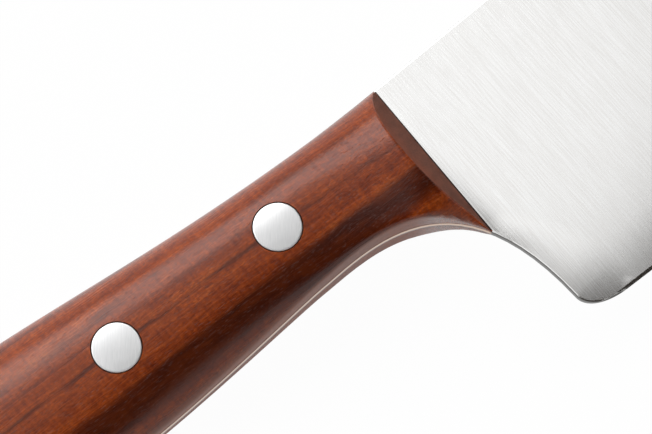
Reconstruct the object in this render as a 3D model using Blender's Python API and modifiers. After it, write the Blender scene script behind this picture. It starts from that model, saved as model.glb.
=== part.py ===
"""A full-tang nakiri knife with a riveted wooden handle.

The blade and its tang are one steel plate. Two wooden scales lie against the tang, and
three two-piece rivets draw them together. The whole handle is then ground flush, so the
scales and the rivet heads are all cut from one rounded handle form.

Lengths are in metres. The knife lies on its left face: +X runs along the spine to the
tip, +Y from the edge to the spine, and +Z out of the right face. It is built about the
point of the spine where the handle begins, and an empty then places that point so that
the world's origin is the centre of the knife's footprint.
"""
import bisect
import math

import bmesh
import bpy
from mathutils import Matrix, Vector
from mathutils.geometry import interpolate_bezier

# Steel plate
STOCK_THICKNESS = 0.0020
SPINE_THICKNESS_AT_TIP = 0.0018
THICKNESS_BEHIND_EDGE = 0.0004
EDGE_LAND = 0.00006
SHARPENING_ANGLE = math.radians(15.0)

# Blade outline, with x from the front of the handle, y down from the spine, and slopes
# in degrees
BLADE_LENGTH = 0.1650
BLADE_HEIGHT = 0.0535
EDGE_BELLY_REACH = 0.0750
TIP_SPINE_ROUND = 0.0170
TIP_EDGE_ROUND = 0.0110
TIP_EDGE_RISE = 0.0022
HEEL_HEIGHT = 0.0519
HEEL_REACH = 0.00227
HEEL_CORNER_RUN = 0.0071
HEEL_CORNER_RISE = 0.0044
TIP_EDGE_SLOPE = 4.0
HEEL_EDGE_SLOPE = 3.4
CHOIL_LEAN = 1.1
PLUNGE_SETBACK = 0.0045
PLUNGE_RADIUS = 0.0080

# Handle outline, with lengths back from the front of the handle or on from the butt
HANDLE_LENGTH = 0.1194
NECK_SETBACK = 0.0277
NECK_DROP = 0.0198
BELLY_SETBACK = 0.0619
BELLY_DROP = 0.0211
WAIST_FROM_BUTT = 0.0330
WAIST_DROP = 0.0207
BEAK_FROM_BUTT = 0.0090
BEAK_DROP = 0.0232
BUTT_DROP = 0.0095
HUMP_FROM_BUTT = 0.0263
HUMP_RISE = 0.0083

# How far the outline's curve handles reach back and ahead of each knot
FRONT_HANDLES = (0.0450, 0.0100)
SPINE_END_HANDLE = 0.0300
TIP_HANDLE = 0.0060
EDGE_END_HANDLE = 0.0280
EDGE_BELLY_HANDLES = (0.0300, 0.0250)
HEEL_EDGE_HANDLE = 0.0200
HEEL_BACK_HANDLE = 0.0301
NECK_HANDLES = (0.0092, 0.0055)
BELLY_HANDLES = (0.0144, 0.0080)
WAIST_HANDLES = (0.0080, 0.0100)
BEAK_HANDLES = (0.0090, 0.0052)
BUTT_HANDLES = (0.0085, 0.0095)
HUMP_HANDLES = (0.0150, 0.0245)
CORNER_SHARE = 0.56
QUARTER_CIRCLE_SHARE = 0.5523

# Handle sections. The crown is where a section is thickest, at a share of its height.
HANDLE_THICKNESS = 0.0192
FRONT_THICKNESS = 0.0159
THICKENING_RUN = 0.0700
BUTT_PLAN_ROUND = 0.0085
BUTT_LAND = 0.0030
TOP_FULLNESS = 2.4
CROWN_SHARE = 0.41
CROWN_SHARE_AT_FRONT = 0.53
CROWN_SINKS_OVER = 0.0220
LOW_FULLNESS = 3.0
GUARD_FULLNESS = 4.5
GRIP_TAPER = 0.5
GUARD_TAPER = 25.0
GUARD_RUN = 0.0080
FRONT_SLOPE = math.radians(30.0)
FRONT_LEAN = math.radians(2.0)

# The flat along the handle's underside: widest at the neck, narrow at the guard and in
# the grip
UNDERSIDE_WIDTH = 0.0101
UNDERSIDE_WIDTH_AT_GUARD = 0.0030
UNDERSIDE_WIDTH_IN_GRIP = 0.0036
UNDERSIDE_WIDENS_OVER = 0.0060
UNDERSIDE_NARROWS_FROM = 0.0020
UNDERSIDE_NARROWS_TO = 0.0460
UNDERSIDE_CORNER = 24.0
UNDERSIDE_SQUARENESS = 16.0

# Rivets
RIVET_HEAD_DIAMETER = 0.0080
RIVET_SLEEVE_DIAMETER = 0.0050
RIVET_PIN_DIAMETER = 0.0030
RIVET_SEAT_HEIGHT = 0.0052
RIVET_SLEEVE_SHORTFALL = 0.0012
RIVET_PIN_REACH = 0.0030
RIVET_FRONT_SETBACK = 0.0281
RIVET_REAR_FROM_BUTT = 0.0280
RIVET_LINE_DROP = 0.0103
RIVET_LINE_RISE = math.radians(2.64)

# Clearances that stand for the glue line and for the rivets' drive fits
GLUE_GAP = 0.0002
RIVET_GAP = 0.0002

# How finely round forms are cut
OUTLINE_STEPS = 12
TURN_STEPS = 48
TOP_SECTION_STEPS = 9
LOW_SECTION_STEPS = 14
BUTT_STATIONS = 12
GRIP_STATIONS = 13
GUARD_STATIONS = 16
BUTT_STATIONS_RUN = 0.0200
GUARD_STATIONS_RUN = 0.0290

# How far a cutter reaches past what it cuts, and the handle form past its front
OVERCUT = 0.0100
SWEEP_WIDTH = 0.0030
FORM_LEAD = 0.0006

RIGHT = 1
LEFT = -1


def clear_scene():
    for thing in list(bpy.data.objects):
        bpy.data.objects.remove(thing, do_unlink=True)


def new_collection(name):
    collection = bpy.data.collections.new(name)
    bpy.context.scene.collection.children.link(collection)
    return collection


def steel(name, colour, roughness):
    return material(name, colour, roughness, 1.0)


def material(name, colour, roughness, metallic):
    made = bpy.data.materials.new(name)
    made.use_nodes = True
    shader = made.node_tree.nodes["Principled BSDF"]
    shader.inputs["Base Color"].default_value = (*colour, 1.0)
    shader.inputs["Roughness"].default_value = roughness
    shader.inputs["Metallic"].default_value = metallic
    return made


def knot(x, y, heading, back, ahead):
    """A smooth point of an outline: where it is, which way the outline runs there in
    degrees from +X, and how far its handles reach back and ahead."""
    way = Vector((math.cos(math.radians(heading)), math.sin(math.radians(heading)), 0.0))
    point = Vector((x, y, 0.0))
    return point - way * back, point, point + way * ahead


def outline_knots():
    """The plate's outline, from the front of the handle along the spine and round."""
    tip_low = -BLADE_HEIGHT + TIP_EDGE_RISE
    heel_x = HEEL_REACH + HEEL_CORNER_RUN
    tip_round = CORNER_SHARE * TIP_SPINE_ROUND
    edge_round = CORNER_SHARE * TIP_EDGE_ROUND
    return {
        "front": knot(0.0, 0.0, 0.0, *FRONT_HANDLES),
        "spine_end": knot(BLADE_LENGTH - TIP_SPINE_ROUND, 0.0, 0.0, SPINE_END_HANDLE, tip_round),
        "tip_top": knot(BLADE_LENGTH, -TIP_SPINE_ROUND, -90.0, tip_round, TIP_HANDLE),
        "tip_low": knot(BLADE_LENGTH, tip_low + TIP_EDGE_ROUND, -90.0, TIP_HANDLE, edge_round),
        "edge_end": knot(BLADE_LENGTH - TIP_EDGE_ROUND, tip_low, TIP_EDGE_SLOPE - 180.0, edge_round,
                         EDGE_END_HANDLE),
        "edge_belly": knot(EDGE_BELLY_REACH, -BLADE_HEIGHT, 180.0, *EDGE_BELLY_HANDLES),
        "heel_edge": knot(heel_x, -HEEL_HEIGHT, 180.0 - HEEL_EDGE_SLOPE, HEEL_EDGE_HANDLE,
                          CORNER_SHARE * HEEL_CORNER_RUN),
        "heel_back": knot(HEEL_REACH, -HEEL_HEIGHT + HEEL_CORNER_RISE, 90.0 + CHOIL_LEAN,
                          CORNER_SHARE * HEEL_CORNER_RISE, HEEL_BACK_HANDLE),
        "neck": knot(-NECK_SETBACK, -NECK_DROP, 180.0, *NECK_HANDLES),
        "belly": knot(-BELLY_SETBACK, -BELLY_DROP, 180.0, *BELLY_HANDLES),
        "waist": knot(WAIST_FROM_BUTT - HANDLE_LENGTH, -WAIST_DROP, 180.0, *WAIST_HANDLES),
        "beak": knot(BEAK_FROM_BUTT - HANDLE_LENGTH, -BEAK_DROP, 180.0, *BEAK_HANDLES),
        "butt": knot(-HANDLE_LENGTH, -BUTT_DROP, 90.0, *BUTT_HANDLES),
        "hump": knot(HUMP_FROM_BUTT - HANDLE_LENGTH, HUMP_RISE, 0.0, *HUMP_HANDLES),
    }


def points_between(knots, names):
    """Points along the outline through the named knots, in order."""
    points = [knots[names[0]][1]]
    for first, second in zip(names, names[1:]):
        run = interpolate_bezier(knots[first][1], knots[first][2], knots[second][0],
                                 knots[second][1], OUTLINE_STEPS + 1)
        points.extend(run[1:])
    return points


def line_height(line, x):
    """The y of a line of points at x. The line's points run towards +X."""
    place = bisect.bisect_left([point.x for point in line], x)
    place = min(max(place, 1), len(line) - 1)
    first, second = line[place - 1], line[place]
    share = (x - first.x) / (second.x - first.x)
    return first.y + (second.y - first.y) * share


def smooth_step(share):
    share = min(max(share, 0.0), 1.0)
    return share * share * (3.0 - 2.0 * share)


def blend(first, second, share):
    return first + (second - first) * share


def curve_mesh(name, splines, extrude, collection):
    """A flat filled outline of Bezier knots, extruded both ways, as a closed mesh."""
    data = bpy.data.curves.new(name, "CURVE")
    data.dimensions = "2D"
    data.fill_mode = "BOTH"
    data.extrude = extrude
    for knots in splines:
        spline = data.splines.new("BEZIER")
        spline.bezier_points.add(len(knots) - 1)
        spline.use_cyclic_u = True
        spline.resolution_u = OUTLINE_STEPS
        for point, (back, centre, ahead) in zip(spline.bezier_points, knots):
            point.handle_left_type = "FREE"
            point.handle_right_type = "FREE"
            point.handle_left = back
            point.co = centre
            point.handle_right = ahead
    curve = bpy.data.objects.new(name + "_outline", data)
    bpy.context.scene.collection.objects.link(curve)
    return mesh_from_curve(curve, name, collection)


def mesh_from_curve(curve, name, collection):
    """A mesh object with the curve's shape and place; the curve itself is removed."""
    bpy.context.view_layer.update()
    seen = curve.evaluated_get(bpy.context.evaluated_depsgraph_get())
    mesh = bpy.data.meshes.new_from_object(seen)
    made = bpy.data.objects.new(name, mesh)
    made.matrix_world = curve.matrix_world.copy()
    weld(mesh)
    collection.objects.link(made)
    bpy.data.objects.remove(curve, do_unlink=True)
    return made


def weld(mesh):
    work = bmesh.new()
    work.from_mesh(mesh)
    bmesh.ops.remove_doubles(work, verts=work.verts, dist=0.000001)
    bmesh.ops.recalc_face_normals(work, faces=work.faces)
    work.to_mesh(mesh)
    work.free()


def as_cutter(thing):
    thing.hide_render = True
    thing.display_type = "WIRE"
    return thing


def box(name, low, high, collection):
    work = bmesh.new()
    bmesh.ops.create_cube(work, size=1.0)
    size = [b - a for a, b in zip(low, high)]
    centre = [(a + b) / 2 for a, b in zip(low, high)]
    bmesh.ops.scale(work, vec=size, verts=work.verts)
    bmesh.ops.translate(work, vec=centre, verts=work.verts)
    mesh = bpy.data.meshes.new(name)
    work.to_mesh(mesh)
    work.free()
    made = bpy.data.objects.new(name, mesh)
    collection.objects.link(made)
    return made


def turned(name, profile, place, collection):
    """A turned solid. The profile's (radius, z) points run from the axis at the top,
    down the outer side, and back to the axis."""
    mesh = bpy.data.meshes.new(name)
    edges = [(number, number + 1) for number in range(len(profile) - 1)]
    mesh.from_pydata([(radius, 0.0, z) for radius, z in profile], edges, [])
    made = bpy.data.objects.new(name, mesh)
    collection.objects.link(made)
    made.location = place
    screw = made.modifiers.new("Turn", "SCREW")
    screw.axis = "Z"
    screw.steps = TURN_STEPS
    screw.render_steps = TURN_STEPS
    screw.use_merge_vertices = True
    screw.merge_threshold = 0.000001
    return made


def cut(thing, cutter, operation="DIFFERENCE"):
    boolean = thing.modifiers.new(operation.title() + " " + cutter.name, "BOOLEAN")
    boolean.operation = operation
    boolean.solver = "EXACT"
    boolean.object = cutter


def settle(thing, sharp_angle=math.radians(28.0)):
    """Apply the modifiers, and shade round stretches smooth up to their sharp edges."""
    bpy.context.view_layer.update()
    seen = thing.evaluated_get(bpy.context.evaluated_depsgraph_get())
    mesh = bpy.data.meshes.new_from_object(seen)
    thing.modifiers.clear()
    thing.data = mesh
    mesh.name = thing.name
    mesh.shade_smooth()
    mesh.set_sharp_from_angle(angle=sharp_angle)


def grind_plane(side):
    """A ground face: its point on the spine at the plunge, the way along the spine, and
    the way out of the steel."""
    spine = Vector((PLUNGE_SETBACK, 0.0, side * STOCK_THICKNESS / 2))
    tip = Vector((BLADE_LENGTH, 0.0, side * SPINE_THICKNESS_AT_TIP / 2))
    edge = Vector((PLUNGE_SETBACK, -HEEL_HEIGHT, side * THICKNESS_BEHIND_EDGE / 2))
    along = (tip - spine).normalized()
    out = along.cross(edge - spine).normalized()
    if out.z * side < 0.0:
        out.negate()
    return spine, along, out


def grind_cutter(side, collection):
    """What the grinding belt takes off one side: all above the ground face, ending in a
    round plunge line ahead of the handle."""
    reach = BLADE_LENGTH + OVERCUT
    rise = 2 * PLUNGE_RADIUS
    arc = QUARTER_CIRCLE_SHARE * PLUNGE_RADIUS
    knots = [
        knot(0.0, 0.0, 0.0, arc, OVERCUT),
        knot(reach, 0.0, 0.0, OVERCUT, 0.0),
        knot(reach, rise, 180.0, 0.0, OVERCUT),
        knot(-PLUNGE_RADIUS, rise, 180.0, OVERCUT, 0.0),
        knot(-PLUNGE_RADIUS, PLUNGE_RADIUS, -90.0, 0.0, arc),
    ]
    cutter = curve_mesh(f"grind_{'right' if side > 0 else 'left'}", [knots],
                        BLADE_HEIGHT + OVERCUT, collection)
    origin, along, out = grind_plane(side)
    turn = Matrix((along, out, along.cross(out))).transposed()
    cutter.matrix_world = Matrix.Translation(origin) @ turn.to_4x4()
    return as_cutter(cutter)


def bevel_cutter(side, knots, collection):
    """What the stone takes off one side of the edge, swept along the edge line."""
    edge = points_between(knots, ["edge_end", "edge_belly", "heel_edge"])
    lead_in = (edge[0] - edge[1]).normalized() * OVERCUT
    lead_out = (edge[-1] - edge[-2]).normalized() * OVERCUT
    path = [edge[0] + lead_in, *edge, edge[-1] + lead_out]
    width = SWEEP_WIDTH
    slope = math.tan(SHARPENING_ANGLE)
    low = EDGE_LAND / 2
    section = [(-width, low - width * slope), (width, low + width * slope),
               (width, width), (-width, width)]
    work = bmesh.new()
    rings = []
    for number, point in enumerate(path):
        before = path[max(number - 1, 0)]
        after = path[min(number + 1, len(path) - 1)]
        way = (after - before).normalized()
        inward = Vector((way.y, -way.x, 0.0))
        ring = [work.verts.new(point + inward * run + Vector((0.0, 0.0, side * rise)))
                for run, rise in section]
        rings.append(ring)
    join_rings(work, rings)
    return as_cutter(mesh_object(f"sharpening_{'right' if side > 0 else 'left'}", work,
                                 collection))


def join_rings(work, rings):
    """Faces between successive closed rings of vertices, and a cap at each end."""
    for first, second in zip(rings, rings[1:]):
        for number in range(len(first)):
            following = (number + 1) % len(first)
            work.faces.new((first[number], first[following], second[following],
                            second[number]))
    work.faces.new(reversed(rings[0]))
    work.faces.new(rings[-1])
    bmesh.ops.recalc_face_normals(work, faces=work.faces)


def mesh_object(name, work, collection):
    mesh = bpy.data.meshes.new(name)
    work.to_mesh(mesh)
    work.free()
    made = bpy.data.objects.new(name, mesh)
    collection.objects.link(made)
    return made


def make_blade(knots, parts, cutters, holes):
    blade = curve_mesh("blade", [list(knots.values())], STOCK_THICKNESS / 2, parts)
    for side in (RIGHT, LEFT):
        cut(blade, grind_cutter(side, cutters))
        cut(blade, bevel_cutter(side, knots, cutters))
    for hole in holes:
        cut(blade, hole)
    settle(blade)
    return blade


def body_lines(knots):
    """The handle's upper and lower lines, both running towards +X from the butt."""
    upper = points_between(knots, ["butt", "hump", "front", "spine_end"])
    lower = points_between(knots, ["heel_back", "neck", "belly", "waist", "beak", "butt"])
    return upper, lower[::-1]


def half_thickness(x):
    """Half the handle's thickness at its crown, closing round the butt in plan."""
    half = blend(FRONT_THICKNESS, HANDLE_THICKNESS, smooth_step(-x / THICKENING_RUN)) / 2
    into_round = (BUTT_PLAN_ROUND - HANDLE_LENGTH - x) / BUTT_PLAN_ROUND
    if into_round > 0.0:
        land = BUTT_LAND / 2
        closing = 1.0 - min(into_round, 1.0) ** TOP_FULLNESS
        half = blend(land, half, closing ** (1 / TOP_FULLNESS))
    return half


def underside_half_width(x):
    """Half the width of the flat that is ground along the handle's underside."""
    neck = UNDERSIDE_WIDTH / 2
    grip = UNDERSIDE_WIDTH_IN_GRIP / 2
    guard = UNDERSIDE_WIDTH_AT_GUARD / 2
    narrowed = (-x - UNDERSIDE_NARROWS_FROM) / (UNDERSIDE_NARROWS_TO - UNDERSIDE_NARROWS_FROM)
    width = blend(neck, grip, smooth_step(narrowed))
    return blend(width, guard, smooth_step(1.0 + x / UNDERSIDE_WIDENS_OVER))


def handle_section(x, upper, lower):
    """Half a cross-section of the ground handle, as (y, z) from the top to the bottom.

    Above the crown it is a superellipse. Below, the side rounds into the flat underside,
    and at the guard it flares down to a thin edge instead."""
    top = line_height(upper, x)
    low = line_height(lower, x)
    into_front = smooth_step(1.0 + x / CROWN_SINKS_OVER)
    share = blend(CROWN_SHARE, CROWN_SHARE_AT_FRONT, into_front)
    crown = blend(top, max(low, -NECK_DROP), share)
    half = half_thickness(x)
    flat = min(underside_half_width(x), half)
    guard = smooth_step(1.0 + x / GUARD_RUN)
    fullness = blend(LOW_FULLNESS, GUARD_FULLNESS, guard)
    taper = GRIP_TAPER * (GUARD_TAPER / GRIP_TAPER) ** guard
    points = []
    for number in range(TOP_SECTION_STEPS):
        away = math.cos(math.pi / 2 * number / TOP_SECTION_STEPS)
        z = half * math.sqrt(1.0 - away ** TOP_FULLNESS)
        points.append((crown + (top - crown) * away, z))
    for number in range(LOW_SECTION_STEPS + 1):
        away = math.sin(math.pi / 2 * number / LOW_SECTION_STEPS)
        z = flat * max(1.0 - away ** UNDERSIDE_CORNER, 0.0) ** (1 / UNDERSIDE_SQUARENESS)
        z += (half - flat) * max(1.0 - away ** fullness, 0.0) ** taper
        points.append((crown + (low - crown) * away, z))
    return points


def handle_stations():
    """Where the handle's cross-sections lie: close together at the butt and the guard."""
    grip_start = BUTT_STATIONS_RUN - HANDLE_LENGTH
    grip_run = HANDLE_LENGTH - BUTT_STATIONS_RUN - GUARD_STATIONS_RUN
    guard_run = GUARD_STATIONS_RUN + FORM_LEAD
    stations = [BUTT_STATIONS_RUN * (number / BUTT_STATIONS) ** 2 - HANDLE_LENGTH
                for number in range(1, BUTT_STATIONS)]
    stations += [grip_start + grip_run * number / GRIP_STATIONS
                 for number in range(GRIP_STATIONS)]
    stations += [guard_run * number / GUARD_STATIONS - GUARD_STATIONS_RUN
                 for number in range(GUARD_STATIONS + 1)]
    return stations


def make_handle_form(knots, cutters):
    """The rounded form that the scales and rivet heads are ground to, as a loft through
    cross-sections along the tang."""
    upper, lower = body_lines(knots)
    work = bmesh.new()
    rings = []
    for x in handle_stations():
        half = handle_section(x, upper, lower)
        ring = half + [(y, -z) for y, z in reversed(half[1:-1])]
        rings.append([work.verts.new((x, y, z)) for y, z in ring])
    join_rings(work, rings)
    return as_cutter(mesh_object("handle_form", work, cutters))


def front_cutter(side, cutters):
    """Everything ahead of the scale's front face, which leans back from the blade."""
    name = f"front_{'right' if side > 0 else 'left'}"
    reach = HANDLE_LENGTH
    cutter = box(name, (0.0, -reach, -reach), (reach, reach, reach), cutters)
    lean = Matrix.Rotation(-FRONT_LEAN, 4, "Z")
    slope = Matrix.Rotation(-side * FRONT_SLOPE, 4, "Y")
    place = Matrix.Translation((0.0, 0.0, side * STOCK_THICKNESS / 2))
    cutter.matrix_world = place @ lean @ slope
    return as_cutter(cutter)


def far_side_cutter(side, cutters):
    """All of the handle form beyond a scale's glue line: the tang's room and the other
    scale's half."""
    name = f"beyond_glue_{'right' if side > 0 else 'left'}"
    reach = HANDLE_LENGTH + OVERCUT
    glue_face = side * (STOCK_THICKNESS / 2 + GLUE_GAP)
    far = -side * (HANDLE_THICKNESS / 2 + OVERCUT)
    low = (-reach, -reach, min(glue_face, far))
    high = (OVERCUT, reach, max(glue_face, far))
    return as_cutter(box(name, low, high, cutters))


def rivet_place(name):
    """The rivets stand in a line along the grip, the middle one halfway."""
    front = -RIVET_FRONT_SETBACK
    rear = RIVET_REAR_FROM_BUTT - HANDLE_LENGTH
    x = {"front": front, "middle": (front + rear) / 2, "rear": rear}[name]
    return Vector((x, -RIVET_LINE_DROP - x * math.tan(RIVET_LINE_RISE), 0.0))


def rivet_hole(name, cutters):
    """A rivet's hole through scales and tang, counterbored from both faces."""
    shank = RIVET_SLEEVE_DIAMETER / 2 + RIVET_GAP
    head = RIVET_HEAD_DIAMETER / 2 + RIVET_GAP
    top = HANDLE_THICKNESS / 2 + OVERCUT
    seat = RIVET_SEAT_HEIGHT
    profile = [(0.0, top), (head, top), (head, seat), (shank, seat), (shank, -seat),
               (head, -seat), (head, -top), (0.0, -top)]
    return as_cutter(turned(f"hole_{name}", profile, rivet_place(name), cutters))


def make_scale(side, form, holes, parts, cutters):
    """A wooden scale: the handle form on one side of the tang, with its front face
    sloped and its rivet holes counterbored."""
    name = "scale_right" if side > 0 else "scale_left"
    scale = bpy.data.objects.new(name, form.data.copy())
    parts.objects.link(scale)
    cut(scale, front_cutter(side, cutters))
    cut(scale, far_side_cutter(side, cutters))
    for hole in holes:
        cut(scale, hole)
    return scale


def make_rivet(name, form, parts):
    """A cutler's rivet. The sleeved half is let into the right scale and the pinned
    half into the left. Both heads are ground flush with the wood."""
    place = rivet_place(name)
    head = RIVET_HEAD_DIAMETER / 2
    sleeve = RIVET_SLEEVE_DIAMETER / 2
    pin = RIVET_PIN_DIAMETER / 2
    bore = pin + RIVET_GAP
    blank_top = HANDLE_THICKNESS / 2 + OVERCUT
    under_head = RIVET_SEAT_HEIGHT + RIVET_GAP
    sleeve_end = RIVET_SLEEVE_SHORTFALL - RIVET_SEAT_HEIGHT
    bore_end = RIVET_PIN_REACH + RIVET_GAP
    sleeved = [(0.0, blank_top), (head, blank_top), (head, under_head), (sleeve, under_head),
               (sleeve, sleeve_end), (bore, sleeve_end), (bore, bore_end), (0.0, bore_end)]
    pinned = [(0.0, RIVET_PIN_REACH), (pin, RIVET_PIN_REACH), (pin, -under_head),
              (head, -under_head), (head, -blank_top), (0.0, -blank_top)]
    halves = [turned(f"rivet_{name}_sleeve", sleeved, place, parts),
              turned(f"rivet_{name}_pin", pinned, place, parts)]
    for half in halves:
        cut(half, form, "INTERSECT")
    return halves


def footprint_centre(things):
    """The middle of the lowest level of the things' common bounding box."""
    corners = [thing.matrix_world @ vertex.co for thing in things
               for vertex in thing.data.vertices]
    low = [min(corner[axis] for corner in corners) for axis in range(3)]
    high = [max(corner[axis] for corner in corners) for axis in range(3)]
    return Vector(((low[0] + high[0]) / 2, (low[1] + high[1]) / 2, low[2]))


clear_scene()
parts = new_collection("nakiri_knife")
cutters = new_collection("cutters")
knots = outline_knots()
form = make_handle_form(knots, cutters)
rivet_names = ("front", "middle", "rear")
holes = [rivet_hole(name, cutters) for name in rivet_names]

blade = make_blade(knots, parts, cutters, holes)
scales = [make_scale(side, form, holes, parts, cutters) for side in (RIGHT, LEFT)]
rivets = [half for name in rivet_names for half in make_rivet(name, form, parts)]

blade.data.materials.append(steel("satin_steel", (0.80, 0.80, 0.79), 0.34))
for scale in scales:
    settle(scale)
    scale.data.materials.clear()
    scale.data.materials.append(material(f"oiled_wood_{scale.name}", (0.22, 0.055, 0.02), 0.45, 0.0))
for half in rivets:
    settle(half)
    half.data.materials.append(steel(f"polished_{half.name}", (0.82, 0.82, 0.81), 0.25))

knife = [blade, *scales, *rivets]
datum = bpy.data.objects.new("knife_datum", None)
bpy.context.scene.collection.objects.link(datum)
datum.location = -footprint_centre(knife)
for piece in knife:
    piece.parent = datum
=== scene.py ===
"""A nakiri knife on a white table: a satin steel blade and a riveted wooden handle.

Lengths are in millimetres from the point of the spine where the handle begins. x runs to
the tip, y from the edge up to the spine, and z out of the right face.
"""

import math

import bmesh
import bpy
import numpy as np
from mathutils import Matrix, Vector
from mathutils.geometry import delaunay_2d_cdt, interpolate_bezier


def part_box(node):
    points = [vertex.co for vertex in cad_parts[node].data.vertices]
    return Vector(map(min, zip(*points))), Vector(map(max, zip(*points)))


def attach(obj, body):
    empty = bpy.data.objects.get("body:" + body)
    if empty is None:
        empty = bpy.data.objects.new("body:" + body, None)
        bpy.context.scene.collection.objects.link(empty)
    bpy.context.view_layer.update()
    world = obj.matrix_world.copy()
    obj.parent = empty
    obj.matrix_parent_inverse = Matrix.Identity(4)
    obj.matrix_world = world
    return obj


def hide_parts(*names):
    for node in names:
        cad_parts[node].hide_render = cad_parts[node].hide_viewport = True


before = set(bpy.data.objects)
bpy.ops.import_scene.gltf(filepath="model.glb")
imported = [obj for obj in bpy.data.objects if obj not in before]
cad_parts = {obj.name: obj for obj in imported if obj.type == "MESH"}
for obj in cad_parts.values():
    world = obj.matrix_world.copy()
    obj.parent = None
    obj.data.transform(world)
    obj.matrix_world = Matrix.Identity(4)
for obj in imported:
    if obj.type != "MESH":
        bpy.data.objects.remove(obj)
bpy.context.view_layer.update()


# The blade and its full tang are one plate of stainless steel, 2 mm thick. A belt grinds
# both sides from a soft plunge down to the edge, which a stone then sharpens. The corners
# that a hand meets are eased, and the belt's satin lines run across the blade.
MILLIMETRE = 0.001
HALF_STOCK = 1.0
BLADE_LENGTH = 165.0
BLADE_HEIGHT = 53.5
EDGE_BELLY_REACH = 75.0
TIP_SPINE_ROUND = 17.0
TIP_EDGE_ROUND = 11.0
TIP_EDGE_RISE = 2.2
HEEL_HEIGHT = 51.9
HEEL_REACH = 2.27
HEEL_CORNER_RUN = 7.1
HEEL_CORNER_RISE = 4.4
TIP_EDGE_SLOPE = 4.0
HEEL_EDGE_SLOPE = 3.4
CHOIL_LEAN = 1.1
CORNER_SHARE = 0.56
HANDLE_LENGTH = 119.4
NECK_SETBACK = 27.7
NECK_DROP = 19.9

PLUNGE_SETBACK = 4.5
PLUNGE_UNDER_SCALES = 1.0
PLUNGE_RUN = 4.5
PLUNGE_RUN_AT_HEEL = 9.0
PLUNGE_TURNS_AT = -28.0
PLUNGE_TURNS_OVER = 5.0
PLUNGE_WIDENS_OVER = 15.0
SPINE_TAPER = 0.000623
EDGE_TAPER = 0.015414
EDGE_ROLL_WIDTH = 9.0
EDGE_ROLL_SHARE = 0.18
EDGE_LAND = 0.03
EDGE_BEVEL_WIDTH = 0.48
BEVEL_FROM_HEEL = 1.5
BEVEL_FROM_TIP = 3.0
EASED_CORNER = 0.16
CORNER_TURNS = (0.0, 30.0, 60.0, 90.0)
FACE_MARGIN = 0.12
OUTLINE_STEPS = 26


def knot(x, y, heading, back, ahead):
    """A smooth point of the outline, and how far its curve handles reach."""
    way = Vector((math.cos(math.radians(heading)), math.sin(math.radians(heading)), 0.0))
    point = Vector((x, y, 0.0))
    return point - way * back, point, point + way * ahead


# The plate's outline, clockwise from the front of the handle: x, y, the heading in degrees,
# and how far the curve reaches back and ahead.
tip_low = TIP_EDGE_RISE - BLADE_HEIGHT
spine_round = CORNER_SHARE * TIP_SPINE_ROUND
edge_round = CORNER_SHARE * TIP_EDGE_ROUND
plate_knots = {
    "front": knot(0.0, 0.0, 0.0, 41.5, 10.0),
    "spine_end": knot(BLADE_LENGTH - TIP_SPINE_ROUND, 0.0, 0.0, 30.0, spine_round),
    "tip_top": knot(BLADE_LENGTH, -TIP_SPINE_ROUND, -90.0, spine_round, 6.0),
    "tip_low": knot(BLADE_LENGTH, tip_low + TIP_EDGE_ROUND, -90.0, 6.0, edge_round),
    "edge_end": knot(BLADE_LENGTH - TIP_EDGE_ROUND, tip_low, TIP_EDGE_SLOPE - 180.0,
                     edge_round, 28.0),
    "edge_belly": knot(EDGE_BELLY_REACH, -BLADE_HEIGHT, 180.0, 30.0, 25.0),
    "heel_edge": knot(HEEL_REACH + HEEL_CORNER_RUN, -HEEL_HEIGHT, 180.0 - HEEL_EDGE_SLOPE,
                      20.0, CORNER_SHARE * HEEL_CORNER_RUN),
    "heel_back": knot(HEEL_REACH, HEEL_CORNER_RISE - HEEL_HEIGHT, 90.0 + CHOIL_LEAN,
                      CORNER_SHARE * HEEL_CORNER_RISE, 30.1),
    "neck": knot(-NECK_SETBACK, -NECK_DROP, 180.0, 9.2, 5.5),
    "belly": knot(-61.9, -21.2, 180.0, 14.4, 8.0),
    "waist": knot(33.0 - HANDLE_LENGTH, -20.7, 180.0, 8.0, 10.0),
    "beak": knot(9.0 - HANDLE_LENGTH, -23.2, 180.0, 9.0, 5.2),
    "butt": knot(-HANDLE_LENGTH, -9.5, 90.0, 8.5, 9.5),
    "hump": knot(26.3 - HANDLE_LENGTH, 8.3, 0.0, 15.0, 24.5),
}


def line_through(names):
    """Points of the outline through the named knots, as rows of x and y."""
    points = [plate_knots[names[0]][1]]
    for first, second in zip(names, names[1:]):
        run = interpolate_bezier(plate_knots[first][1], plate_knots[first][2],
                                 plate_knots[second][0], plate_knots[second][1],
                                 OUTLINE_STEPS + 1)
        points.extend(run[1:])
    return np.array([point.xy for point in points])


def line_height(line, x):
    """The y of a line of points that runs towards +x."""
    return np.interp(x, line[:, 0], line[:, 1])


def smooth_step(share):
    """0 up to 0, 1 from 1 on, and a soft curve between."""
    share = np.clip(share, 0.0, 1.0)
    return share * share * (3.0 - 2.0 * share)


def blend(first, second, share):
    """A value that lies a share of the way between two others."""
    return first + (second - first) * share


edge_line = line_through(["edge_end", "edge_belly", "heel_edge"])[::-1]
choil_line = line_through(["heel_back", "neck"])


def plunge_line(y):
    """Where the plunge starts at y, under the scales and then along the choil, and how far
    ahead of that the ground face begins."""
    choil = np.interp(y, choil_line[:, 1], choil_line[:, 0])
    below = PLUNGE_TURNS_AT - y
    start = blend(-PLUNGE_UNDER_SCALES, choil, smooth_step(below / PLUNGE_TURNS_OVER))
    run = blend(PLUNGE_RUN, PLUNGE_RUN_AT_HEEL, smooth_step(below / PLUNGE_WIDENS_OVER))
    return start, run


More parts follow.
